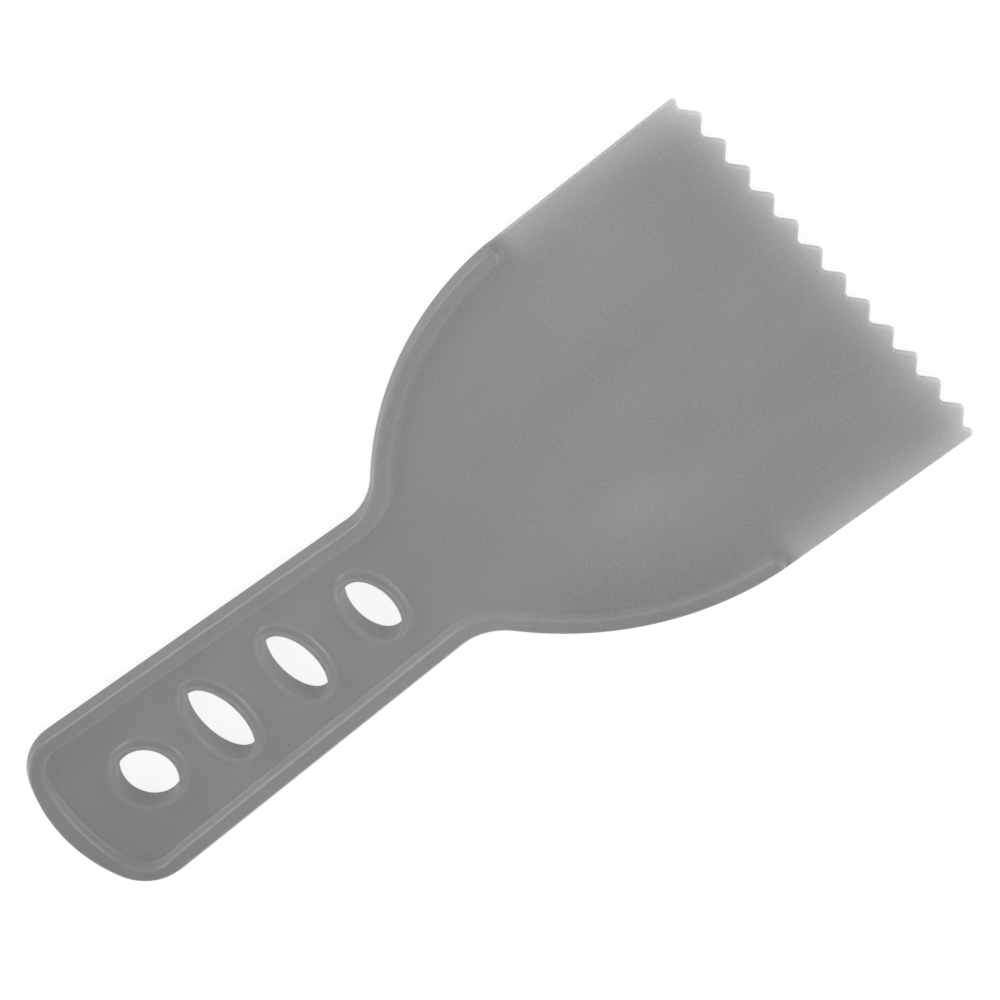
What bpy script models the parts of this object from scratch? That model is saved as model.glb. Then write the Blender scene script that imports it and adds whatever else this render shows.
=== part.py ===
"""A notched adhesive spreader: one injection-moulded piece of translucent grey plastic.

It lies flat with its thickness along Z, its handle towards -Y and its teeth towards +Y.
The whole tool is a thin web.  A raised rim stands on both faces of the web round the handle
and both shoulders, and a raised collar stands on both faces round each of the four holes.
"""
from math import atan2, cos, pi, radians, sin, sqrt, tan

import bmesh
import bpy
from mathutils import Vector

MM = 0.001
NAME = "moulded_spreader"

# Driving dimensions, in millimetres.  y is measured from the butt of the handle to the teeth.
LENGTH = 225.7
BLADE_WIDTH = 100.0
THICKNESS = 6.8              # over the rim and the collars
WEB_THICKNESS = 1.6
WEB_EDGE_RADIUS = 0.3
WEB_TUCK = 1.4               # how far the web's edge lies inside the edge of the handle
WEB_TUCK_END = 4.5           # the web comes out to the edge this far short of the rim's end

# Handle: a bowed butt, and sides that taper towards the neck.
BUTT_RADIUS = 35.6
BUTT_CORNER_RADIUS = 13.2
HANDLE_WIDE_Y = 31.4
HANDLE_WIDE_HALF = 22.17
HANDLE_NARROW_Y = 101.0
HANDLE_NARROW_HALF = 19.57
NECK_RADIUS = 14.6

# Shoulders sweep out to the blade, whose straight sides flare slightly to the toothed edge.
SHOULDER_RADIUS = 82.4
BLADE_START_Y = 174.4
BLADE_START_HALF = 49.6

# Toothed edge: V notches with a tip between each two, and a part tooth at each corner.
TIP_COUNT = 12
TOOTH_PITCH = 7.908
TOOTH_FLANK_ANGLE = radians(43.4)
TIP_RADIUS = 1.25
NOTCH_RADIUS = 1.25
CORNER_RADIUS = 0.9

# Rim: its section is a drafted ridge, the same on both faces, and lower round the shoulders.
RIM_PROUD = 0.25             # how far the rim stands outside the edge of the blade
RIM_OUTER_BASE = 2.7
RIM_OUTER_TOP = 1.35
RIM_INNER_TOP = 2.0
RIM_INNER_BASE = 2.7
RIM_EDGE_RADIUS = 0.8
RIM_SHOULDER_SCALE = 0.93
RIM_END_Y = 174.0
RIM_END_LENGTH = 2.4

# Collars: a ring with a drafted outer wall round each hole.
COLLAR_TOP_WIDTH = 1.3
COLLAR_BASE_WIDTH = 1.9
COLLAR_EDGE_RADIUS = 0.4
HOLE_DRAFT = 0.1             # how much wider a hole is at its faces than at its middle
WEB_IN_COLLAR = 1.2          # how far from the hole the web stops, inside the collar

# Holes, as (y, half length along the handle, half length across it).
HANG_HOLE = (27.2, 7.0, 7.25)
GRIP_HOLES = (
    (49.3, 5.3, 10.1),
    (72.3, 5.05, 9.2),
    (95.2, 5.05, 8.0),
)
HOLES = (HANG_HOLE,) + GRIP_HOLES

ARC_STEP = 3.2               # greatest chord on the large arcs
TOOTH_ARC_STEP = radians(24)
SECTION_ARC_STEP = radians(60)
COLLAR_SEGMENTS = 32

PLASTIC_GREY = (0.235, 0.235, 0.237, 1.0)
PLASTIC_ROUGHNESS = 0.45


def clear_scene():
    for item in list(bpy.data.objects):
        bpy.data.objects.remove(item, do_unlink=True)


def make_collection(name):
    collection = bpy.data.collections.new(name)
    bpy.context.scene.collection.children.link(collection)
    return collection


def moulded_plastic():
    material = bpy.data.materials.new("grey_plastic")
    material.use_nodes = True
    shader = material.node_tree.nodes["Principled BSDF"]
    shader.inputs["Base Color"].default_value = PLASTIC_GREY
    shader.inputs["Roughness"].default_value = PLASTIC_ROUGHNESS
    shader.inputs["Metallic"].default_value = 0.0
    material.diffuse_color = PLASTIC_GREY
    return material


# ---------------------------------------------------------------- plane geometry, millimetres

def angle_of(vector):
    return atan2(vector.y, vector.x)


def arc(centre, radius, start, end, largest_turn):
    """Points on an arc from the start angle to the end angle, both ends included."""
    count = max(2, int(abs(end - start) / largest_turn) + 1)
    turns = [start + (end - start) * index / count for index in range(count + 1)]
    return [centre + radius * Vector((cos(turn), sin(turn))) for turn in turns]


def slide_until(start, direction, centre, distance):
    """The first point on the line through start that lies at a distance from centre."""
    offset = start - centre
    along = offset.dot(direction)
    excess = offset.length_squared - distance ** 2
    return start + direction * (-along - sqrt(along ** 2 - excess))


def round_corner(before, corner, after, radius, largest_turn):
    """Points that round a corner of a polygon off with an arc."""
    to_before = (before - corner).normalized()
    to_after = (after - corner).normalized()
    half_angle = to_before.angle(to_after) / 2
    middle = (to_before + to_after).normalized()
    centre = corner + middle * radius / sin(half_angle)
    reach = radius / tan(half_angle)
    start = angle_of(corner + to_before * reach - centre)
    end = angle_of(corner + to_after * reach - centre)
    turn = (end - start + pi) % (2 * pi) - pi
    return arc(centre, radius, start, start + turn, largest_turn)


def right_side():
    """The web's outline on its +X side, from the middle of the butt to the end of the blade."""
    wide = Vector((HANDLE_WIDE_HALF, HANDLE_WIDE_Y))
    narrow = Vector((HANDLE_NARROW_HALF, HANDLE_NARROW_Y))
    side = (narrow - wide).normalized()
    outward = Vector((side.y, -side.x))
    butt_centre = Vector((0.0, RIM_PROUD + BUTT_RADIUS))
    corner_centre = slide_until(
        wide - outward * BUTT_CORNER_RADIUS, side, butt_centre, BUTT_RADIUS - BUTT_CORNER_RADIUS)

    blade_start = Vector((BLADE_START_HALF, BLADE_START_Y))
    blade_end = Vector((BLADE_WIDTH / 2, notch_y()))
    blade_side = (blade_end - blade_start).normalized()
    blade_outward = Vector((blade_side.y, -blade_side.x))
    shoulder_centre = blade_start - blade_outward * SHOULDER_RADIUS
    neck_centre = slide_until(
        wide + outward * NECK_RADIUS, side, shoulder_centre, SHOULDER_RADIUS + NECK_RADIUS)

    corner_turn = angle_of(corner_centre - butt_centre)
    neck_turn = angle_of(shoulder_centre - neck_centre)
    points = arc(butt_centre, BUTT_RADIUS, -pi / 2, corner_turn, ARC_STEP / BUTT_RADIUS)
    points += arc(corner_centre, BUTT_CORNER_RADIUS, corner_turn, angle_of(outward),
                  ARC_STEP / BUTT_CORNER_RADIUS)[1:]
    points += arc(neck_centre, NECK_RADIUS, angle_of(outward) + pi, neck_turn, ARC_STEP / NECK_RADIUS)
    points += arc(shoulder_centre, SHOULDER_RADIUS, neck_turn - pi, angle_of(blade_outward),
                  ARC_STEP / SHOULDER_RADIUS)[1:]
    return points


def notch_depth():
    return TOOTH_PITCH / 2 * tan(TOOTH_FLANK_ANGLE)


def tip_y():
    """Where a tooth's flanks would meet if its tip were sharp."""
    return LENGTH + TIP_RADIUS * (1 / cos(TOOTH_FLANK_ANGLE) - 1)


def notch_y():
    return tip_y() - notch_depth()


def toothed_edge():
    """The blade's end from its +X corner to its -X corner, every tip and notch rounded."""
    last_notch = TIP_COUNT / 2 * TOOTH_PITCH
    corner_y = notch_y() + (BLADE_WIDTH / 2 - last_notch) * tan(TOOTH_FLANK_ANGLE)
    vertices = [(Vector((BLADE_WIDTH / 2, corner_y)), CORNER_RADIUS)]
    for index in range(TIP_COUNT + 1):
        x = last_notch - index * TOOTH_PITCH
        vertices.append((Vector((x, notch_y())), NOTCH_RADIUS))
        if index < TIP_COUNT:
            vertices.append((Vector((x - TOOTH_PITCH / 2, tip_y())), TIP_RADIUS))
    vertices.append((Vector((-BLADE_WIDTH / 2, corner_y)), CORNER_RADIUS))

    side_start = Vector((BLADE_START_HALF, BLADE_START_Y))
    ends = [side_start] + [corner for corner, _ in vertices] + [mirrored(side_start)]
    points = []
    for index, (corner, radius) in enumerate(vertices):
        points += round_corner(ends[index], corner, ends[index + 2], radius, TOOTH_ARC_STEP)
    return points


def mirrored(point):
    return Vector((-point.x, point.y))


def handle_edge():
    """The edge from the end of one shoulder, round the butt, to the end of the other."""
    right = right_side()
    return [mirrored(point) for point in reversed(right[1:])] + right


def moved_in(edge, index, distance):
    """A point of the handle's edge moved squarely into the tool."""
    before = edge[max(index - 1, 0)]
    after = edge[min(index + 1, len(edge) - 1)]
    along = (after - before).normalized()
    return edge[index] + Vector((-along.y, along.x)) * distance


def web_outline():
    """The web's edge is tucked inside the rim, and comes out just before the rim's nose."""
    edge = handle_edge()
    tucked = []
    for index, point in enumerate(edge):
        tuck = WEB_TUCK if point.y < RIM_END_Y - WEB_TUCK_END else 0.0
        tucked.append(moved_in(edge, index, tuck))
    return tucked + toothed_edge()


def rim_scale(y):
    """The rim's section shrinks between the neck and the start of the shoulder's long arc."""
    share = (y - HANDLE_NARROW_Y) / (BLADE_START_Y - HANDLE_NARROW_Y)
    share = min(max(2.0 * share, 0.0), 1.0)
    return 1.0 + (RIM_SHOULDER_SCALE - 1.0) * share * share * (3 - 2 * share)


def rim_route():
    """Points along the middle of the rim, each with the size of its section there."""
    edge = [point for point in handle_edge() if point.y < RIM_END_Y - RIM_END_LENGTH]
    route = []
    for index, point in enumerate(edge):
        scale = rim_scale(point.y)
        route.append((moved_in(edge, index, RIM_OUTER_BASE * scale - RIM_PROUD), scale))
    return rounded_end(route[0], route[1])[::-1] + route + rounded_end(route[-1], route[-2])


def rounded_end(end, neighbour):
    """Points past the end of the rim that shrink its section to a round nose."""
    point, scale = end
    along = (point - neighbour[0]).normalized()
    turns = [pi / 2 * share for share in (0.3, 0.55, 0.78, 0.94)]
    return [(point + along * RIM_END_LENGTH * sin(turn), scale * cos(turn)) for turn in turns]


def ridge_section(outer_base, outer_top, inner_top, inner_base, edge_radius):
    """A drafted ridge on both faces: widest at mid height, with rounded top edges."""
    half = THICKNESS / 2
    corners = (
        (Vector((outer_top, half)), edge_radius),
        (Vector((-inner_top, half)), edge_radius),
        (Vector((-inner_base, 0.0)), None),
        (Vector((-inner_top, -half)), edge_radius),
        (Vector((outer_top, -half)), edge_radius),
        (Vector((outer_base, 0.0)), None),
    )
    points = []
    for index, (corner, radius) in enumerate(corners):
        if radius is None:
            points.append(corner)
            continue
        before = corners[index - 1][0]
        after = corners[(index + 1) % len(corners)][0]
        points += round_corner(before, corner, after, radius, SECTION_ARC_STEP)
    return points


# ---------------------------------------------------------------- Blender objects, metres

def poly_curve(name, loops, closed=True, radii=None):
    """A flat curve whose splines run through points given in millimetres."""
    curve = bpy.data.curves.new(name, "CURVE")
    curve.dimensions = "2D"
    for points in loops:
        spline = curve.splines.new("POLY")
        spline.points.add(len(points) - 1)
        for index, point in enumerate(points):
            spline.points[index].co = (point.x * MM, point.y * MM, 0.0, 1.0)
            spline.points[index].radius = radii[index] if radii else 1.0
        spline.use_cyclic_u = closed
    return curve


def mesh_from_curve(curve, collection):
    """Turns a curve into a closed mesh object whose caps are welded to its walls."""
    guide = bpy.data.objects.new(curve.name, curve)
    collection.objects.link(guide)
    depsgraph = bpy.context.evaluated_depsgraph_get()
    mesh = bpy.data.meshes.new_from_object(guide.evaluated_get(depsgraph))
    shaped = bmesh.new()
    shaped.from_mesh(mesh)
    bmesh.ops.remove_doubles(shaped, verts=shaped.verts, dist=0.00001)
    bmesh.ops.recalc_face_normals(shaped, faces=shaped.faces)
    shaped.to_mesh(mesh)
    shaped.free()
    solid = bpy.data.objects.new(curve.name + "_solid", mesh)
    solid.matrix_world = guide.matrix_world
    collection.objects.link(solid)
    bpy.data.objects.remove(guide, do_unlink=True)
    return solid


def centre_on_frame(solid):
    """Puts the tool's middle on the Z axis and its lower face on the ground."""
    solid.location = (0.0, -LENGTH / 2 * MM, THICKNESS / 2 * MM)


def make_web(collection):
    collar_holes = [ellipse(hole, WEB_IN_COLLAR) for hole in HOLES]
    curve = poly_curve("web", [web_outline()] + collar_holes)
    curve.fill_mode = "BOTH"
    curve.extrude = (WEB_THICKNESS / 2 - WEB_EDGE_RADIUS) * MM
    curve.bevel_depth = WEB_EDGE_RADIUS * MM
    curve.bevel_resolution = 0
    curve.offset = -WEB_EDGE_RADIUS * MM
    web = mesh_from_curve(curve, collection)
    centre_on_frame(web)
    return web


def sweep(curve, section, collection):
    """Sweeps a section along a flat route."""
    outline = poly_curve(curve.name + "_section", [section])
    outline.fill_mode = "NONE"
    profile = bpy.data.objects.new(outline.name, outline)
    collection.objects.link(profile)
    curve.fill_mode = "NONE"
    curve.bevel_mode = "OBJECT"
    curve.bevel_object = profile
    curve.use_fill_caps = True
    ridge = mesh_from_curve(curve, collection)
    bpy.data.objects.remove(profile, do_unlink=True)
    centre_on_frame(ridge)
    ridge.hide_render = True
    ridge.display_type = "WIRE"
    return ridge


def make_rim(collection):
    section = ridge_section(
        RIM_OUTER_BASE, RIM_OUTER_TOP, RIM_INNER_TOP, RIM_INNER_BASE, RIM_EDGE_RADIUS)
    route = rim_route()
    points = [point for point, _ in route]
    sizes = [size for _, size in route]
    return sweep(poly_curve("rim", [points], False, sizes), section, collection)


def ellipse(hole, grow):
    """An ellipse round a hole, grown outwards by a constant width."""
    y, half_length, half_width = hole
    points = []
    for index in range(COLLAR_SEGMENTS):
        turn = 2 * pi * index / COLLAR_SEGMENTS
        outward = Vector((half_length * cos(turn), half_width * sin(turn))).normalized()
        point = Vector((half_width * cos(turn), y + half_length * sin(turn)))
        points.append(point + outward * grow)
    return points


def make_collar(index, hole, collection):
    """A closed route always runs clockwise, so the section's outer side faces the hole."""
    section = ridge_section(
        0.0, -HOLE_DRAFT, COLLAR_TOP_WIDTH, COLLAR_BASE_WIDTH, COLLAR_EDGE_RADIUS)
    return sweep(poly_curve(f"collar_{index}", [ellipse(hole, 0.0)]), section, collection)


def join_to(target, ridge):
    modifier = target.modifiers.new(f"join_{ridge.name}", "BOOLEAN")
    modifier.operation = "UNION"
    modifier.solver = "EXACT"
    modifier.object = ridge


def make_spreader(parts, helpers):
    spreader = make_web(parts)
    spreader.name = NAME
    spreader.data.name = NAME
    join_to(spreader, make_rim(helpers))
    for index, hole in enumerate(HOLES, start=1):
        join_to(spreader, make_collar(index, hole, helpers))
    spreader.data.materials.clear()
    spreader.data.materials.append(moulded_plastic())
    spreader.data.shade_smooth()
    spreader.data.set_sharp_from_angle(angle=radians(35))
    return spreader


def main():
    clear_scene()
    parts = make_collection("notched_spreader")
    helpers = make_collection("cutters")
    make_spreader(parts, helpers)


main()
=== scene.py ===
"""Looks of the notched spreader: one moulding of translucent grey plastic, on a white table.

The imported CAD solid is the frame.  A finer mesh of the same moulding replaces it here, with true
round edges, and fillets where the rim and the collars rise from the web.  Lengths are in
millimetres, unless a name or a comment says metres, and y is measured from the butt.  The mesh
moves to the frame's origin, in metres, in build_object().
"""

from math import atan2, cos, pi, radians, sin, sqrt, tan

import bmesh
import bpy
from mathutils import Matrix, Vector
from mathutils.geometry import delaunay_2d_cdt


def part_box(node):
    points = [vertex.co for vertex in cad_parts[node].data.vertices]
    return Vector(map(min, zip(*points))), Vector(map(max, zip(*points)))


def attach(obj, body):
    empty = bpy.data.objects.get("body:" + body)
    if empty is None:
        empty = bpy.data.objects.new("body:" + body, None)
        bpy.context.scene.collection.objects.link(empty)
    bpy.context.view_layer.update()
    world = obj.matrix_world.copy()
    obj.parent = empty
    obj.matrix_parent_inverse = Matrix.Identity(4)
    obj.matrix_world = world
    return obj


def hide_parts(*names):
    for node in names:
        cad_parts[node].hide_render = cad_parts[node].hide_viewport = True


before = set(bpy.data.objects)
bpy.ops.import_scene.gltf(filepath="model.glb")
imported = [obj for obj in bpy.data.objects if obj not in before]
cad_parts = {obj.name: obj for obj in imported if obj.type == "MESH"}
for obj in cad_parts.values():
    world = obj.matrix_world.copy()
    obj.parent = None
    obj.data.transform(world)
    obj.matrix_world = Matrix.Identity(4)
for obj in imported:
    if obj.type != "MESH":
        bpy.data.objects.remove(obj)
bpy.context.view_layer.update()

MM = 0.001
WHITE = (1.0, 1.0, 1.0, 1.0)
NODE = "moulded_spreader"
low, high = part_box(NODE)
LENGTH = (high[1] - low[1]) / MM
THICKNESS = (high[2] - low[2]) / MM
BLADE_HALF = 50.0                # to its corners, before they are rounded

# The web is the blade and the floor of the handle.  z is measured from the middle of its thickness.
WEB_TOP = 0.8
BLADE_EDGE_RADIUS = 0.45

# Handle, from the butt at y = 0.
BUTT_RADIUS = 35.6
BUTT_CORNER_RADIUS = 13.2
HANDLE_WIDE = Vector((22.17, 31.4))
HANDLE_NARROW = Vector((19.57, 101.0))
NECK_RADIUS = 14.6
SHOULDER_RADIUS = 82.4
BLADE_START = Vector((49.6, 174.4))

# Teeth.
TIP_COUNT = 12
TOOTH_PITCH = 7.908
TOOTH_FLANK_ANGLE = radians(43.4)
TIP_RADIUS = 1.25
NOTCH_RADIUS = 1.25
CORNER_RADIUS = 0.9

# Rim: distances from the line along its middle.  A top is at the land, and a base at z = 0.
RIM_PROUD = 0.25                 # its widest line stands this far outside the blade's outline
RIM_OUTER_BASE = 2.7
RIM_OUTER_TOP = 1.35
RIM_INNER_TOP = 2.0
RIM_INNER_BASE = 2.7
RIM_EDGE_RADIUS = 1.1
RIM_FOOT_RADIUS = 0.6
RIM_FOOT_RADIUS_SHOULDER = 1.4   # up the -X shoulder the rim blends softly into the blade
RIM_SHOULDER_SCALE = 0.93
RIM_END_Y = 174.0
RIM_END_LENGTH = 2.4
SHOULDER_FADE = 20.0             # past the neck, what differs on a shoulder comes in over this
NOSE_BLEND_START = radians(50)   # where the nose starts to take the inner side's section
NOSE_CLEARANCE = 0.7             # share of the gap beside the nose that the blade's edge takes
PARTING_ROUND_HEIGHT = 0.4       # the rim's widest line is rounded over this height

# At the butt the rim's inner side is flatter than its outer side.
BUTT_FLAT_HALF = 13.0            # half the width that stands further in
BUTT_FLAT_DEPTH = 0.8            # how much further in, at the middle
BUTT_FLAT_LEAST = -0.8           # share of that depth that the sides stand further out, at most
BUTT_FLAT_END_Y = 22.0
BUTT_FLAT_FADE = 14.0

# Collars round the holes: distances from the hole's edge.
COLLAR_TOP_WIDTH = 1.3
COLLAR_BASE_WIDTH = 1.9
COLLAR_EDGE_RADIUS = 0.4
COLLAR_FOOT_RADIUS = 1.3
HOLE_DRAFT = 0.1
HOLES_X = -0.3                   # the holes stand a little off the middle line
HOLES = (                        # y, half length along the handle, half length across it
    (26.9, 7.0, 7.25),
    (49.0, 5.3, 10.1),
    (72.0, 5.05, 9.2),
    (94.9, 5.05, 8.0),
)

# Fineness of the mesh.
STATION_STEP = 1.2               # along the edge
TOOTH_STEP = 0.6                 # along a tooth's straight flank
TOOTH_ARC_STEP = radians(12)
EDGE_POINTS = 6                  # on a rounded edge or a foot's fillet
STRIP_POINTS = 7                 # down the half thickness of the web's edge
NOSE_SEGMENTS = 18
COLLAR_STATIONS = 96
WEB_SPACING = 2.2
BORDER_GAP = 0.6 * WEB_SPACING   # the web's inner points keep this far from its border
INSIDE_OUTLINES = 1              # the triangulation's mode that keeps what is in an outline
SAME_PLACE = 1e-6                # points closer than this are one, in the triangulation
MERGE_DISTANCE = 0.01            # and where the two halves meet

# An attribute tells the material where the walls are: up to 1 on a ridge's side that faces the
# web, and -1 inside a hole.  It fades at the ridge's foot and near its land.
# Where the attribute is above 0, the material adds painted light to the wall.
WALL_ATTRIBUTE = "wall_towards_web"
RIM_WALL_LOSS_MINUS_X = 0.9      # what the rim's inner side loses of its painted light up each shoulder
RIM_WALL_LOSS_PLUS_X = 0.1
NOSE_WALL = 0.3
COLLAR_WALL = 0.6
HOLE_WALL = -1.0
WALL_FOOT_START = WEB_TOP - 0.2
WALL_FOOT_FADE = 0.6
WALL_LAND_FADE = 0.8

# The plastic's grey is a sum: the handle's, and what the butt, the blade and the rest change. Much
# of what is added is painted light, where light would come through thin plastic.
HANDLE_GREY = 0.083
BUTT_GREY = 0.65 * HANDLE_GREY
BUTT_GREY_Y = (5.0, 50.0)        # the butt's grey turns into the handle's between these
BLADE_PAINTED_LIGHT = 0.18 * HANDLE_GREY
BLADE_LIGHT_SPAN_Y = (85.0, 165.0)     # the painted light on the thin blade comes in between these
TEETH_PAINTED_GLOW = 0.19                 # painted glow where light shows through the teeth
TEETH_REACH = 4.6
TEETH_FALL = 1.25                # the power in the curve of its fall
SIDES_PAINTED_GLOW = 0.1                  # painted glow along the blade's sides, beyond the rim
SIDES_X = 49.8                   # the sides' light falls off from here inwards
SIDES_REACH = 5.6
SIDES_FALL = 1.7
SIDES_Y = (172.5, 177.5)         # it comes in between these
WALLS_PAINTED_LIGHT = 0.055                # painted light on the walls that face the web
MARKS = (                        # soft patches: x, y, reach across, reach along, what it adds
    (17.0, 157.0, 8.0, 11.0, 0.015),
    (31.0, 133.0, 8.0, 11.0, -0.016),
    (-32.0, 195.0, 20.0, 35.0, 0.006),
    # The last patch is painted shade: it darkens the +X shoulder.
    (46.0, 148.0, 12.0, 28.0, -0.022),
)
SMUDGE = 0.05                    # the range of the smudges' grey
SMUDGE_SIZE = 22.0
SMUDGE_DETAIL = 3.0
SMUDGE_STRETCH = (1.0, 0.45, 1.0)
GRAIN = 0.09                     # the range of the grain's grey, on the blade
GRAIN_SIZE = 0.55
GRAIN_DETAIL = 2.0
GRAIN_ON_HANDLE = 0.6            # share of the grain that the handle has
EMISSION = 0.118                 # a painted glow that stands in for light that passes through from the table
SCATTER = 2.0                    # how far light spreads under the surface

# Its surface.
SPECULAR = 0.35
ROUGHNESS = 0.32
BLADE_ROUGHER = 0.06
HOLES_ROUGHER = 0.4
BLADE_TEXTURE_Y = (100.0, 140.0)  # the handle's finer texture turns into the blade's
ROUGHNESS_RANGE = 0.08           # it varies this much, in patches
ROUGHNESS_SIZE = 14.0
ROUGHNESS_DETAIL = 1.0
BUMP_HEIGHT = 0.02
BUMP_SIZE = 0.5
BUMP_DETAIL = 3.0
BUMP_ON_HANDLE = 0.3             # share of the bumps' height that the handle has
NOISE_OFFSET = (0.37, 0.81, 0.53)  # in metres: keeps the object's origin out of the patterns

# Stage, in metres and watts.  What the table reflects and what it glows add up to white.
TABLE_SIZE = 6.0
TABLE_GAP = 0.0002
TABLE_GREY = 0.15
TABLE_EMISSION = 0.84
WORLD_STRENGTH = 1.1
KEY_DIRECTION = (-0.78, -0.44, 0.45)
SECOND_DIRECTION = (0.29, 0.81, 0.51)
LIGHT_DISTANCE = 1.2
LIGHT_SIZE = 0.53
LIGHT_POWER = 6.3

# Camera, in metres.  The lens and the sensor are in millimetres.
CAMERA_TARGET = Vector((-0.00202, 0.02076, (low[2] + high[2]) / 2))
CAMERA_BACK = Vector((-0.2923, 0.3499, 0.8901)).normalized()
CAMERA_UP = Vector((-0.6952, 0.5615, -0.4490))
CAMERA_DISTANCE = 1.0821
CAMERA_LENS = 179.1
CAMERA_SENSOR = 36.0
CAMERA_NEAR = 0.01


# ---------------------------------------------------------------- the outline

class Station:
    """A place on the edge of the handle or the blade, with the direction out of the tool."""

    def __init__(self, point, outward):
        self.point = point
        self.outward = outward

    def inside(self, distance):
        """The point at a distance in from the edge."""
        return self.point - self.outward * distance


def mirrored(vector):
    """The same place or direction on the tool's other side."""
    return Vector((-vector.x, vector.y))


def angle_of(vector):
    """The turn from +X to a vector."""
    return atan2(vector.y, vector.x)


def unit(turn):
    """The unit vector at a turn from +X."""
    return Vector((cos(turn), sin(turn)))


def arc(centre, radius, start, end, largest_turn, hollow=False):
    """Stations on an arc, both ends included.  On a hollow arc the tool is outside the circle."""
    count = max(2, int(abs(end - start) / largest_turn) + 1)
    turns = [start + (end - start) * index / count for index in range(count + 1)]
    side = -1.0 if hollow else 1.0
    return [Station(centre + unit(turn) * radius, unit(turn) * side) for turn in turns]


def straight(start, end, step=STATION_STEP):
    """Stations strictly between two others."""
    gap = (end.point - start.point).length
    count = max(1, round(gap / step))
    shares = [index / count for index in range(1, count)]
    return [Station(start.point.lerp(end.point, share), start.outward) for share in shares]


def slide_until(start, direction, centre, distance):
    """The first point on the line through start that lies at a distance from centre."""
    offset = start - centre
    along = offset.dot(direction)
    excess = offset.length_squared - distance ** 2
    return start + direction * (-along - sqrt(along ** 2 - excess))


def notch_y():
    """Where the notches' corners would be if they weren't rounded."""
    sharp_tip_y = LENGTH + TIP_RADIUS * (1 / cos(TOOTH_FLANK_ANGLE) - 1)
    return sharp_tip_y - TOOTH_PITCH / 2 * tan(TOOTH_FLANK_ANGLE)


def handle_half():
    """The edge on the +X side, from the middle of the butt to the start of the blade."""
    side = (HANDLE_NARROW - HANDLE_WIDE).normalized()
    outward = Vector((side.y, -side.x))
    butt_centre = Vector((0.0, RIM_PROUD + BUTT_RADIUS))
    corner_centre = slide_until(
        HANDLE_WIDE - outward * BUTT_CORNER_RADIUS, side, butt_centre,
        BUTT_RADIUS - BUTT_CORNER_RADIUS)
    blade_side = (Vector((BLADE_HALF, notch_y())) - BLADE_START).normalized()
    blade_outward = Vector((blade_side.y, -blade_side.x))
    shoulder_centre = BLADE_START - blade_outward * SHOULDER_RADIUS
    neck_centre = slide_until(
        HANDLE_WIDE + outward * NECK_RADIUS, side, shoulder_centre, SHOULDER_RADIUS + NECK_RADIUS)
    corner_turn = angle_of(corner_centre - butt_centre)
    neck_turn = angle_of(shoulder_centre - neck_centre)

    stations = arc(butt_centre, BUTT_RADIUS, -pi / 2, corner_turn, STATION_STEP / BUTT_RADIUS)
    stations += arc(corner_centre, BUTT_CORNER_RADIUS, corner_turn, angle_of(outward),
                    STATION_STEP / BUTT_CORNER_RADIUS)[1:]
    neck = arc(neck_centre, NECK_RADIUS, angle_of(outward) + pi, neck_turn,
               STATION_STEP / NECK_RADIUS, hollow=True)
    stations += straight(stations[-1], neck[0]) + neck
    stations += arc(shoulder_centre, SHOULDER_RADIUS, neck_turn - pi, angle_of(blade_outward),
                    STATION_STEP / SHOULDER_RADIUS)[1:]
    return stations


def corner_arc(before, corner, after, radius):
    """The arc that rounds a corner off: its centre, its start and its signed turn."""
    to_before = (before - corner).normalized()
    to_after = (after - corner).normalized()
    half_angle = to_before.angle(to_after) / 2
    centre = corner + (to_before + to_after).normalized() * radius / sin(half_angle)
    reach = radius / tan(half_angle)
    start = angle_of(corner + to_before * reach - centre)
    end = angle_of(corner + to_after * reach - centre)
    return centre, start, (end - start + pi) % (2 * pi) - pi


def rounded_tooth(before, corner, after, radius):
    """Stations round a tip or a notch, whose corner points into the tool."""
    centre, start, turn = corner_arc(before, corner, after, radius)
    return arc(centre, radius, start, start + turn, TOOTH_ARC_STEP, hollow=turn < 0)


def toothed_edge():
    """The blade's edge from the end of its +X side to the start of its -X side."""
    last_notch = TIP_COUNT / 2 * TOOTH_PITCH
    tip = notch_y() + TOOTH_PITCH / 2 * tan(TOOTH_FLANK_ANGLE)
    corner = Vector((BLADE_HALF, notch_y() + (BLADE_HALF - last_notch) * tan(TOOTH_FLANK_ANGLE)))
    vertices = [(corner, CORNER_RADIUS)]
    for index in range(TIP_COUNT + 1):
        x = last_notch - index * TOOTH_PITCH
        vertices.append((Vector((x, notch_y())), NOTCH_RADIUS))
        if index < TIP_COUNT:
            vertices.append((Vector((x - TOOTH_PITCH / 2, tip)), TIP_RADIUS))
    vertices.append((mirrored(corner), CORNER_RADIUS))

    ends = [BLADE_START] + [vertex for vertex, _ in vertices] + [mirrored(BLADE_START)]
    stations = []
    for index, (vertex, radius) in enumerate(vertices):
        bend = rounded_tooth(ends[index], vertex, ends[index + 2], radius)
        if stations:
            stations += straight(stations[-1], bend[0], TOOTH_STEP)
        stations += bend
    return stations


def whole_outline():
    """Two runs of stations: round the handle between the rim's ends, and round the blade."""
    half = handle_half()
    left = [Station(mirrored(item.point), mirrored(item.outward)) for item in reversed(half[1:])]
    handle = left + half
    end_y = RIM_END_Y - RIM_END_LENGTH
    ends = [index for index, item in enumerate(handle) if item.point.y < end_y]
    rim = handle[ends[0]:ends[-1] + 1]
    teeth = toothed_edge()
    right_run = nose_run(rim[-1], handle[ends[-1] + 1:])
    left_run = nose_run(rim[0], handle[:ends[0]][::-1])[::-1]
    right_side = right_run + straight(right_run[-1], teeth[0])
    left_side = straight(teeth[-1], left_run[0]) + left_run
    return rim, right_side + teeth + left_side


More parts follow.
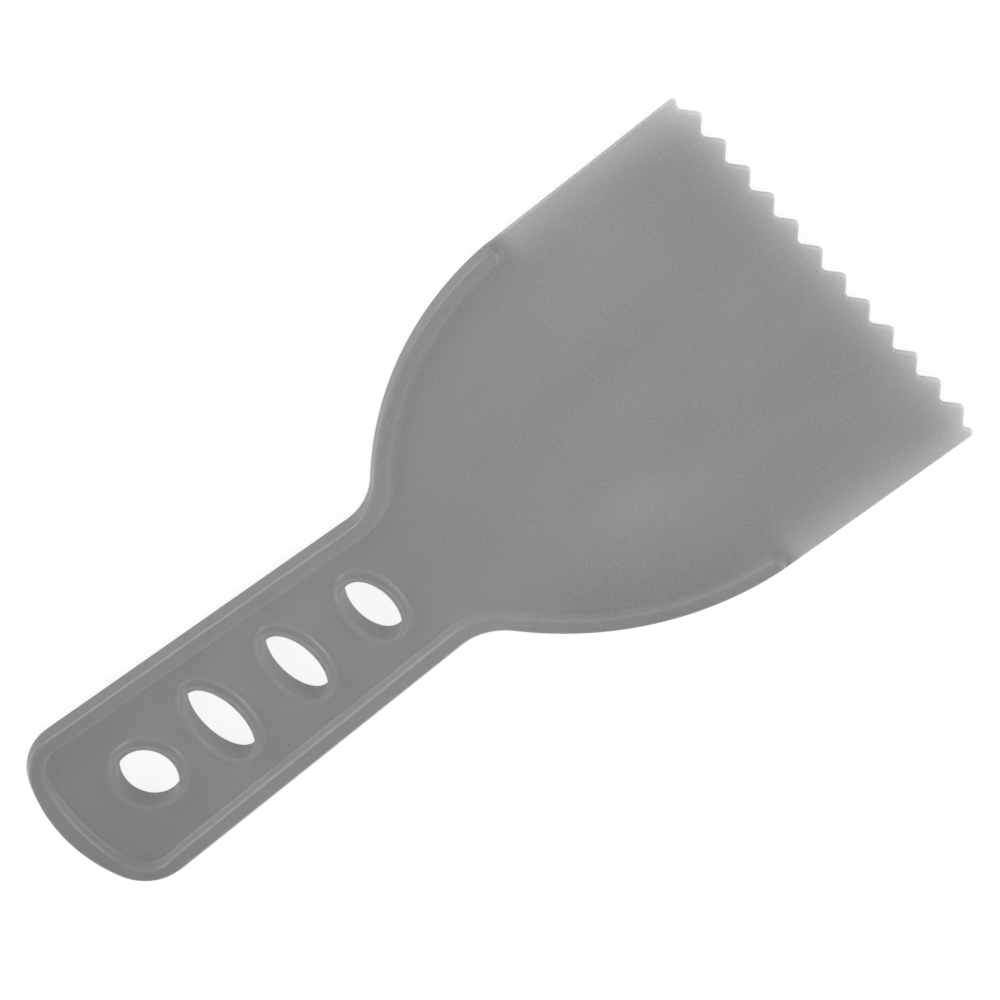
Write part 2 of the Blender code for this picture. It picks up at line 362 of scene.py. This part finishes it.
def nose_run(last, beyond):
    """Stations past the rim's end, three to each gap, because its nose turns away there."""
    run = []
    for start, end in zip([last] + beyond, beyond):
        for share in (1 / 3, 2 / 3, 1):
            run.append(Station(start.point.lerp(end.point, share),
                               start.outward.lerp(end.outward, share).normalized()))
    return run


# ---------------------------------------------------------------- sections, as (distance, height)

def smooth(share):
    """An even start and an even end between 0 and 1."""
    share = min(max(share, 0.0), 1.0)
    return share * share * (3 - 2 * share)


def rim_scale(y):
    """The rim's section shrinks between the neck and the middle of the shoulder."""
    share = (y - HANDLE_NARROW.y) / (BLADE_START.y - HANDLE_NARROW.y)
    return 1.0 + (RIM_SHOULDER_SCALE - 1.0) * smooth(2 * share)


def up_shoulder(place):
    """From 0 at the neck to 1 a little way up the shoulder."""
    return smooth((place.y - HANDLE_NARROW.y) / SHOULDER_FADE)


def rounded(before, corner, after, radius):
    """Points on the arc that rounds a corner of a section."""
    centre, start, turn = corner_arc(before, corner, after, radius)
    last = EDGE_POINTS - 1
    return [centre + unit(start + turn * index / last) * radius for index in range(EDGE_POINTS)]


def wall_at(top, base, height, level):
    """Where a drafted wall, from top at height to base at the middle, crosses a level."""
    return Vector((base + (top - base) * level / height, level))


def foot_fillet(last, foot, radius):
    """From a wall that ends at last, to the web's face, which goes on outward from foot."""
    return rounded(last, foot, foot + Vector((radius, 0.0)), radius)


def outer_half(scale):
    """From the rim's land over its outer edge to the level of the web's face."""
    height = THICKNESS / 2 * scale
    top = RIM_OUTER_TOP * scale
    base = RIM_OUTER_BASE * scale
    edge = rounded(Vector((0.0, height)), Vector((top, height)), Vector((base, 0.0)),
                   RIM_EDGE_RADIUS * scale)
    foot = wall_at(top, base, height, WEB_TOP)
    wall = [edge[-1].lerp(foot, index / EDGE_POINTS) for index in range(1, EDGE_POINTS + 1)]
    return edge + wall


def inner_half(scale, radius):
    """From the rim's land over its inner edge and down a fillet of the radius to the web."""
    height = THICKNESS / 2 * scale
    top = RIM_INNER_TOP * scale
    base = RIM_INNER_BASE * scale
    edge = rounded(Vector((0.0, height)), Vector((top, height)), Vector((base, 0.0)),
                   RIM_EDGE_RADIUS * scale)
    foot = wall_at(top, base, height, WEB_TOP)
    return edge + foot_fillet(edge[-1], foot, radius)


def butt_spread(point):
    """How much further in the rim's inner side stands at the butt, where it is flatter."""
    across = max(1 - (point.x / BUTT_FLAT_HALF) ** 2, BUTT_FLAT_LEAST)
    return BUTT_FLAT_DEPTH * across * smooth((BUTT_FLAT_END_Y - point.y) / BUTT_FLAT_FADE)


def foot_radius(place):
    """The fillet's radius where the rim meets the web, which is more up the -X shoulder."""
    if place.x > 0:
        return RIM_FOOT_RADIUS
    return RIM_FOOT_RADIUS + (RIM_FOOT_RADIUS_SHOULDER - RIM_FOOT_RADIUS) * up_shoulder(place)


def nose_half(scale, radius, turn):
    """The half section that stands at a turn round the rim's nose: 0 is out, pi is in."""
    blend = smooth((turn - NOSE_BLEND_START) / (pi - NOSE_BLEND_START))
    pairs = zip(outer_half(scale), inner_half(scale, radius))
    return [outer.lerp(inner, blend) for outer, inner in pairs]


def collar_section():
    """From the middle of the hole's wall, over the collar, to the web."""
    height = THICKNESS / 2
    middle = Vector((0.0, 0.0))
    inner_edge = rounded(middle, Vector((HOLE_DRAFT, height)),
                         Vector((COLLAR_TOP_WIDTH, height)), COLLAR_EDGE_RADIUS)
    outer_edge = rounded(Vector((0.0, height)), Vector((COLLAR_TOP_WIDTH, height)),
                         Vector((COLLAR_BASE_WIDTH, 0.0)), COLLAR_EDGE_RADIUS)
    foot = wall_at(COLLAR_TOP_WIDTH, COLLAR_BASE_WIDTH, height, WEB_TOP)
    fillet = foot_fillet(outer_edge[-1], foot, COLLAR_FOOT_RADIUS)
    return [middle, inner_edge[0].lerp(middle, 0.5)] + inner_edge + outer_edge + fillet


def rim_strip(scale):
    """Down the rim's outer wall from the web's level to its widest line, which a parabola
    rounds.  The points' distances are inside the outline."""
    height = THICKNESS / 2 * scale
    lean = (RIM_OUTER_BASE - RIM_OUTER_TOP) * scale / height
    points = []
    for index in range(STRIP_POINTS):
        level = WEB_TOP * (1 - index / (STRIP_POINTS - 1))
        into_round = max(PARTING_ROUND_HEIGHT - level, 0.0)
        inset = lean * level - RIM_PROUD + lean * into_round ** 2 / (2 * PARTING_ROUND_HEIGHT)
        points.append(Vector((inset, level)))
    return points


def blade_strip():
    """Down the blade's rounded edge, as distances inside its outline."""
    points = []
    for index in range(STRIP_POINTS - 1):
        turn = pi / 2 * (1 - index / (STRIP_POINTS - 2))
        points.append(Vector((BLADE_EDGE_RADIUS * (1 - cos(turn)),
                              WEB_TOP - BLADE_EDGE_RADIUS * (1 - sin(turn)))))
    return points + [Vector((0.0, 0.0))]


# ---------------------------------------------------------------- the mesh

class HalfMesh:
    """The upper half of the moulding: vertices, the wall attribute on each, and faces as lists
    of vertex numbers."""

    def __init__(self):
        self.vertices = []
        self.walls = []
        self.faces = []

    def add(self, point, height, wall=0.0):
        """Adds a vertex and returns its number.  A wall above 0 fades at its foot and its land."""
        if wall > 0:
            wall *= smooth((height - WALL_FOOT_START) / WALL_FOOT_FADE) \
                * smooth((THICKNESS / 2 - height) / WALL_LAND_FADE)
        self.vertices.append((point.x, point.y, height))
        self.walls.append(wall)
        return len(self.vertices) - 1

    def skin(self, first, second, closed=True):
        """Joins two rows of the same length with quads."""
        count = len(first)
        for index in range(count if closed else count - 1):
            after = (index + 1) % count
            self.faces.append([first[index], first[after], second[after], second[index]])

    def point(self, number):
        return Vector(self.vertices[number][:2])


def rim_wall(place):
    """The wall attribute on the rim's inner side, which sets how much painted light it gets."""
    loss = RIM_WALL_LOSS_MINUS_X if place.x < 0 else RIM_WALL_LOSS_PLUS_X
    return 1.0 - loss * up_shoulder(place)


def add_rim(mesh, stations):
    """The ridge, as closed rows: out along one side, round a nose, back, and round the other."""
    columns = []
    scales = [rim_scale(item.point.y) for item in stations]
    middles = [item.inside(RIM_OUTER_BASE * scale - RIM_PROUD)
               for item, scale in zip(stations, scales)]
    for item, scale, middle in zip(stations, scales, middles):
        columns.append((middle, item.outward, outer_half(scale), 0.0))
    columns += nose_columns(middles[-1], stations[-1].outward, scales[-1], 1.0)
    for item, scale, middle in zip(reversed(stations), reversed(scales), reversed(middles)):
        further = Vector((butt_spread(item.point), 0.0))
        half = [place + further for place in inner_half(scale, foot_radius(item.point))]
        columns.append((middle, -item.outward, half, rim_wall(item.point)))
    columns += nose_columns(middles[0], stations[0].outward, scales[0], -1.0)[::-1]

    rows = []
    for level in range(2 * EDGE_POINTS):
        rows.append([mesh.add(middle + direction * half[level].x, half[level].y, wall)
                     for middle, direction, half, wall in columns])
    for upper, lower in zip(rows, rows[1:]):
        mesh.skin(upper, lower)
    add_land(mesh, rows[0], len(stations))
    return rows[-1]


def nose_columns(middle, outward, scale, side):
    """Half sections round the rim's end, from its outer side to its inner side."""
    onward = Vector((-outward.y, outward.x)) * side
    radius = foot_radius(middle)
    columns = []
    for index in range(1, NOSE_SEGMENTS):
        turn = pi * index / NOSE_SEGMENTS
        direction = outward * cos(turn) + onward * sin(turn)
        wall = NOSE_WALL * smooth(turn / pi)
        columns.append((middle, direction, nose_half(scale, radius, turn), wall))
    return columns


def add_land(mesh, row, count):
    """The flat top of the rim, with a half disc at each end."""
    nose = NOSE_SEGMENTS - 1
    outer = row[:count]
    inner = row[count + nose:2 * count + nose][::-1]
    mesh.skin(outer, inner, closed=False)
    first_nose = [outer[-1]] + row[count:count + nose] + [inner[-1]]
    second_nose = [inner[0]] + row[2 * count + nose:] + [outer[0]]
    for ends in (first_nose, second_nose):
        for index in range(len(ends) // 2):
            ring = [ends[index], ends[index + 1], ends[-index - 2], ends[-index - 1]]
            mesh.faces.append(list(dict.fromkeys(ring)))


def add_edge(mesh, rim_stations, blade_stations, rim_foot):
    """The lower half of the edge all round: the rim's wall, then the blade's rounded edge."""
    count = len(rim_stations)
    strips = [rim_strip(rim_scale(item.point.y)) for item in rim_stations]
    for item in blade_stations:
        wall = rim_strip(rim_scale(item.point.y))
        share = edge_share(item, rim_stations)
        strips.append([before.lerp(after, share) for before, after in zip(wall, blade_strip())])
    stations = rim_stations + blade_stations
    top = rim_foot[:count]
    top += [mesh.add(item.inside(strip[0].x), WEB_TOP)
            for item, strip in zip(blade_stations, strips[count:])]
    rows = [top]
    for level in range(1, STRIP_POINTS):
        rows.append([mesh.add(item.inside(strip[level].x), strip[level].y)
                     for item, strip in zip(stations, strips)])
    for upper, lower in zip(rows, rows[1:]):
        mesh.skin(upper, lower)
    return top[count:]


def edge_share(station, rim_stations):
    """How far the edge has turned from the rim's wall into the blade's rounded edge.

    It stays clear of the rim's round nose, which curves away from the edge."""
    end = rim_stations[-1] if station.point.x > 0 else rim_stations[0]
    gap = (station.point - end.point).length
    scale = rim_scale(end.point.y)
    nose_radius = outer_half(scale)[-1].x
    clear = nose_radius - sqrt(max(nose_radius ** 2 - gap ** 2, 0.0))
    change = BLADE_EDGE_RADIUS - rim_strip(scale)[0].x
    return min(1.0, NOSE_CLEARANCE * clear / change)


def collar_wall(distance):
    """The wall attribute at a distance from the hole's edge."""
    if distance <= HOLE_DRAFT:
        return HOLE_WALL
    return COLLAR_WALL if distance > COLLAR_TOP_WIDTH / 2 else 0.0


def add_collar(mesh, hole):
    """The collar round a hole, with the hole's wall.  Returns the row at its foot."""
    y, half_length, half_width = hole
    rows = []
    for distance, height in collar_section():
        row = []
        for index in range(COLLAR_STATIONS):
            turn = 2 * pi * index / COLLAR_STATIONS
            outward = Vector((half_length * cos(turn), half_width * sin(turn))).normalized()
            point = Vector((HOLES_X + half_width * cos(turn), y + half_length * sin(turn)))
            row.append(mesh.add(point + outward * distance, height, collar_wall(distance)))
        rows.append(row)
    for lower, upper in zip(rows, rows[1:]):
        mesh.skin(lower, upper)
    return rows[-1]


def add_web(mesh, border, collar_feet):
    """Fills the web's face with triangles: those inside the border, and inside no collar."""
    loops = [border] + collar_feet
    numbers = [number for loop in loops for number in loop]
    points = [mesh.point(number) for number in numbers]
    outlines = []
    start = 0
    for loop in loops:
        outlines.append(list(range(start, start + len(loop))))
        start += len(loop)
    filled = delaunay_2d_cdt(points + spread_points(points), [], outlines,
                             INSIDE_OUTLINES, SAME_PLACE, True)
    places, _, triangles, sources, _, triangle_outlines = filled
    vertices = {}
    for triangle, outlines_round_it in zip(triangles, triangle_outlines):
        if outlines_round_it != [0]:
            continue
        for corner in triangle:
            if corner not in vertices:
                known = [number for number in sources[corner] if number < len(numbers)]
                vertices[corner] = numbers[known[0]] if known \
                    else mesh.add(places[corner], WEB_TOP)
        mesh.faces.append([vertices[corner] for corner in triangle])


def spread_points(border_points):
    """Points of a triangular grid over the web, none too close to its border.

    The border's points are sorted into cells, so that only the nearest are measured."""
    cells = {}
    for point in border_points:
        cells.setdefault(cell_of(point), []).append(point)
    chosen = []
    row_step = WEB_SPACING * sqrt(3) / 2
    for row in range(int(LENGTH / row_step)):
        y = (row + 0.5) * row_step
        for column in range(int(-BLADE_HALF / WEB_SPACING) - 1, int(BLADE_HALF / WEB_SPACING) + 2):
            point = Vector(((column + 0.5 * (row % 2)) * WEB_SPACING, y))
            cell = cell_of(point)
            close = [other for i in (-1, 0, 1) for j in (-1, 0, 1)
                     for other in cells.get((cell[0] + i, cell[1] + j), [])
                     if (other - point).length < BORDER_GAP]
            if not close:
                chosen.append(point)
    return chosen


def cell_of(point):
    """The square cell, as wide as the gap, that a point is in."""
    return int(point.x // BORDER_GAP), int(point.y // BORDER_GAP)


def web_border(rim_foot, blade_top, count):
    """The web's border: inside the rim, round a nose, round the blade, round the other nose."""
    nose = NOSE_SEGMENTS - 1
    outer = rim_foot[:count]
    first_nose = rim_foot[count:count + nose]
    inner = rim_foot[count + nose:2 * count + nose]
    second_nose = rim_foot[2 * count + nose:]
    return inner[::-1] + first_nose[::-1] + [outer[-1]] + blade_top + [outer[0]] \
        + second_nose[::-1]


def build_half():
    """The upper half of the whole moulding."""
    mesh = HalfMesh()
    rim_stations, blade_stations = whole_outline()
    rim_foot = add_rim(mesh, rim_stations)
    blade_top = add_edge(mesh, rim_stations, blade_stations, rim_foot)
    border = web_border(rim_foot, blade_top, len(rim_stations))
    feet = [add_collar(mesh, hole) for hole in HOLES]
    add_web(mesh, border, feet)
    return mesh


def build_object():
    """The whole moulding: the upper half and its mirror image, in metres, in the CAD frame.

    Weighted normals keep the web and the lands flat to the eye beside their rounded edges."""
    half = build_half()
    data = bpy.data.meshes.new("spreader")
    middle = (low[1] + high[1]) / 2 / MM
    vertices = [(x * MM, (y - LENGTH / 2 + middle) * MM, z * MM) for x, y, z in half.vertices]
    data.from_pydata(vertices, [], half.faces)
    data.attributes.new(WALL_ATTRIBUTE, "FLOAT", "POINT").data.foreach_set("value", half.walls)
    shaped = bmesh.new()
    shaped.from_mesh(data)
    bmesh.ops.recalc_face_normals(shaped, faces=shaped.faces)
    shaped.to_mesh(data)
    shaped.free()
    data.shade_smooth()
    spreader = bpy.data.objects.new("spreader", data)
    spreader.location.z = (low[2] + high[2]) / 2
    bpy.context.scene.collection.objects.link(spreader)
    mirror = spreader.modifiers.new("lower_half", "MIRROR")
    mirror.use_axis = (False, False, True)
    mirror.merge_threshold = MERGE_DISTANCE * MM
    normals = spreader.modifiers.new("flat_faces_stay_flat", "WEIGHTED_NORMAL")
    normals.mode = "FACE_AREA"
    return spreader


# ---------------------------------------------------------------- material

class Graph:
    """Builds chains of maths on a material's nodes.  A value is a number or a socket."""

    def __init__(self, material):
        self.nodes = material.node_tree.nodes
        self.links = material.node_tree.links
        coordinates = self.nodes.new("ShaderNodeTexCoord")
        self.place = coordinates.outputs["Object"]
        split = self.nodes.new("ShaderNodeSeparateXYZ")
        self.links.new(self.place, split.inputs[0])
        self.x, self.y = split.outputs[:2]

    def put(self, socket, value):
        """Sets a socket to a number, or links it to another socket."""
        if isinstance(value, (int, float)):
            socket.default_value = value
        else:
            self.links.new(value, socket)

    def math(self, operation, *values):
        """The output of one maths node."""
        node = self.nodes.new("ShaderNodeMath")
        node.operation = operation
        for socket, value in zip(node.inputs, values):
            self.put(socket, value)
        return node.outputs[0]

    def ramp(self, value, span, low_value=0.0, high_value=1.0):
        """Goes smoothly from the low value at the span's start to the high value at its end."""
        node = self.nodes.new("ShaderNodeMapRange")
        node.interpolation_type = "SMOOTHSTEP"
        for name, number in (("From Min", span[0]), ("From Max", span[1]),
                             ("To Min", low_value), ("To Max", high_value)):
            node.inputs[name].default_value = number
        self.links.new(value, node.inputs["Value"])
        return node.outputs["Result"]

    def noise(self, size, detail, stretch=(1.0, 1.0, 1.0)):
        """Noise from 0 to 1 with features of about the given size, in millimetres."""
        node = self.nodes.new("ShaderNodeTexNoise")
        node.inputs["Scale"].default_value = 1 / (size * MM)
        node.inputs["Detail"].default_value = detail
        mapping = self.nodes.new("ShaderNodeMapping")
        mapping.inputs["Location"].default_value = NOISE_OFFSET
        mapping.inputs["Scale"].default_value = stretch
        self.links.new(self.place, mapping.inputs["Vector"])
        self.links.new(mapping.outputs["Vector"], node.inputs["Vector"])
        return node.outputs["Fac"]

    def even_noise(self, spread, size, detail, stretch=(1.0, 1.0, 1.0)):
        """Noise round 0, over a range of the given spread."""
        return self.math("MULTIPLY_ADD", self.noise(size, detail, stretch), spread, -0.5 * spread)

    def fading(self, distance, reach, power, strength):
        """strength * exp(-(distance / reach) ** power)"""
        share = self.math("MAXIMUM", self.math("DIVIDE", distance, reach), 0.0)
        fall = self.math("MULTIPLY", self.math("POWER", share, power), -1.0)
        return self.math("MULTIPLY", self.math("EXPONENT", fall), strength)

    def mark(self, x, y, reach_x, reach_y, strength):
        """A soft oval patch.  All but the strength are in metres."""
        across = self.math("DIVIDE", self.math("SUBTRACT", self.x, x), reach_x)
        along = self.math("DIVIDE", self.math("SUBTRACT", self.y, y), reach_y)
        square = self.math("MULTIPLY_ADD", along, along, self.math("MULTIPLY", across, across))
        fall = self.math("EXPONENT", self.math("MULTIPLY", square, -1.0))
        return self.math("MULTIPLY", fall, strength)


def from_butt(distance):
    """A distance from the butt, in millimetres, as the object's own y in metres."""
    return (distance - LENGTH / 2) * MM


def y_span(distances):
    """A pair of distances from the butt, as the object's own y."""
    return [from_butt(distance) for distance in distances]


def grey_and_blade_light(graph):
    """The plastic's grey along its length: darker towards the butt, and lighter on the blade, where
    painted light stands for light through the thin blade.
    """
    handle = graph.ramp(graph.y, y_span(BUTT_GREY_Y), BUTT_GREY, HANDLE_GREY)
    return graph.math("ADD", handle, graph.ramp(graph.y, y_span(BLADE_LIGHT_SPAN_Y), 0.0, BLADE_PAINTED_LIGHT))


def painted_light_through(graph, wall):
    """Painted light, added to the grey, where light would come through the teeth, the blade's sides
    and the ridges' walls.
    """
    from_tips = graph.math("SUBTRACT", from_butt(LENGTH), graph.y)
    teeth = graph.fading(from_tips, TEETH_REACH * MM, TEETH_FALL, TEETH_PAINTED_GLOW)
    from_side = graph.math("SUBTRACT", SIDES_X * MM, graph.math("ABSOLUTE", graph.x))
    sides = graph.fading(from_side, SIDES_REACH * MM, SIDES_FALL, SIDES_PAINTED_GLOW)
    sides = graph.math("MULTIPLY", sides, graph.ramp(graph.y, y_span(SIDES_Y)))
    walls = graph.math("MAXIMUM", graph.math("MULTIPLY", wall, WALLS_PAINTED_LIGHT), 0.0)
    return [teeth, sides, walls]


def unevenness(graph, blade):
    """What smudges, grain and soft patches add; the last patch is painted shade on the +X shoulder.
    """
    smudges = graph.even_noise(SMUDGE, SMUDGE_SIZE, SMUDGE_DETAIL, SMUDGE_STRETCH)
    grain = graph.even_noise(GRAIN, GRAIN_SIZE, GRAIN_DETAIL)
    share = graph.math("MULTIPLY_ADD", blade, 1 - GRAIN_ON_HANDLE, GRAIN_ON_HANDLE)
    parts = [smudges, graph.math("MULTIPLY", grain, share)]
    for x, y, reach_x, reach_y, strength in MARKS:
        parts.append(graph.mark(x * MM, from_butt(y), reach_x * MM, reach_y * MM, strength))
    return parts


def surface_roughness(graph, blade, wall):
    """Rougher on the blade than on the handle, in soft patches, and rougher still in the holes."""
    roughness = graph.math("ADD", graph.math("MULTIPLY_ADD", blade, BLADE_ROUGHER, ROUGHNESS),
                           graph.even_noise(ROUGHNESS_RANGE, ROUGHNESS_SIZE, ROUGHNESS_DETAIL))
    in_hole = graph.math("MAXIMUM", graph.math("MULTIPLY", wall, -1.0), 0.0)
    return graph.math("MULTIPLY_ADD", in_hole, HOLES_ROUGHER, roughness)


def fine_bumps(graph, blade):
    """The moulded surface's fine grain, as a normal.  It is shallower on the handle."""
    share = graph.math("MULTIPLY_ADD", blade, 1 - BUMP_ON_HANDLE, BUMP_ON_HANDLE)
    bump = graph.nodes.new("ShaderNodeBump")
    bump.inputs["Distance"].default_value = BUMP_HEIGHT * MM
    bump.inputs["Strength"].default_value = 1.0
    height = graph.math("MULTIPLY", graph.noise(BUMP_SIZE, BUMP_DETAIL), share)
    graph.links.new(height, bump.inputs["Height"])
    return bump.outputs["Normal"]


def plastic():
    """Translucent grey plastic, with painted light where light would come through its thin edges,
    and a painted glow in place of light from the table.
    """
    material = bpy.data.materials.new("translucent_grey_plastic")
    material.use_nodes = True
    graph = Graph(material)
    shader = graph.nodes["Principled BSDF"]
    shader.inputs["Subsurface Weight"].default_value = 1.0
    shader.inputs["Subsurface Radius"].default_value = (1.0, 1.0, 1.0)
    shader.inputs["Subsurface Scale"].default_value = SCATTER * MM
    shader.inputs["Specular IOR Level"].default_value = SPECULAR
    shader.inputs["Emission Color"].default_value = WHITE
    shader.inputs["Emission Strength"].default_value = EMISSION

    blade = graph.ramp(graph.y, y_span(BLADE_TEXTURE_Y))
    attribute = graph.nodes.new("ShaderNodeAttribute")
    attribute.attribute_name = WALL_ATTRIBUTE
    wall = attribute.outputs["Fac"]
    grey = grey_and_blade_light(graph)
    for part in painted_light_through(graph, wall) + unevenness(graph, blade):
        grey = graph.math("ADD", grey, part)
    colour = graph.nodes.new("ShaderNodeCombineColor")
    for socket in colour.inputs:
        graph.links.new(grey, socket)
    graph.links.new(colour.outputs["Color"], shader.inputs["Base Color"])
    graph.links.new(surface_roughness(graph, blade, wall), shader.inputs["Roughness"])
    graph.links.new(fine_bumps(graph, blade), shader.inputs["Normal"])
    return material


# ---------------------------------------------------------------- stage, light and camera

def add_floor():
    """The white table just under the tool.  It glows, so that it shows next to no shadow."""
    bpy.ops.mesh.primitive_plane_add(size=TABLE_SIZE, location=(0.0, 0.0, low[2] - TABLE_GAP))
    floor = bpy.context.object
    floor.name = "floor"
    material = bpy.data.materials.new("white_table")
    material.use_nodes = True
    shader = material.node_tree.nodes["Principled BSDF"]
    shader.inputs["Base Color"].default_value = (TABLE_GREY, TABLE_GREY, TABLE_GREY, 1.0)
    shader.inputs["Roughness"].default_value = 1.0
    shader.inputs["Specular IOR Level"].default_value = 0.0
    shader.inputs["Emission Color"].default_value = WHITE
    shader.inputs["Emission Strength"].default_value = TABLE_EMISSION
    floor.data.materials.append(material)


def add_world():
    """White from every side, as in a light tent."""
    world = bpy.data.worlds.new("studio")
    world.use_nodes = True
    background = world.node_tree.nodes["Background"]
    background.inputs["Color"].default_value = WHITE
    background.inputs["Strength"].default_value = WORLD_STRENGTH
    bpy.context.scene.world = world


def add_area_light(name, direction):
    """A soft square light that faces the middle of the tool."""
    light = bpy.data.lights.new(name, "AREA")
    light.size = LIGHT_SIZE
    light.energy = LIGHT_POWER
    lamp = bpy.data.objects.new(name, light)
    direction = Vector(direction).normalized()
    lamp.location = direction * LIGHT_DISTANCE
    lamp.rotation_euler = direction.to_track_quat("Z", "Y").to_euler()
    bpy.context.scene.collection.objects.link(lamp)


def add_camera():
    """A long lens that looks down on the tool, with the teeth towards the upper right."""
    data = bpy.data.cameras.new("camera")
    data.lens = CAMERA_LENS
    data.sensor_width = CAMERA_SENSOR
    data.clip_start = CAMERA_NEAR
    camera = bpy.data.objects.new("camera", data)
    up = (CAMERA_UP - CAMERA_BACK * CAMERA_UP.dot(CAMERA_BACK)).normalized()
    right = up.cross(CAMERA_BACK)
    camera.matrix_world = Matrix.Translation(CAMERA_TARGET + CAMERA_BACK * CAMERA_DISTANCE) \
        @ Matrix((right, up, CAMERA_BACK)).transposed().to_4x4()
    bpy.context.scene.collection.objects.link(camera)
    bpy.context.scene.camera = camera


def main():
    bpy.context.scene.view_settings.view_transform = "Standard"
    spreader = build_object()
    spreader.data.materials.append(plastic())
    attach(spreader, "root")
    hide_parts(NODE)
    add_floor()
    add_world()
    add_area_light("key", KEY_DIRECTION)
    add_area_light("second", SECOND_DIRECTION)
    add_camera()


main()
bpy.context.view_layer.update()
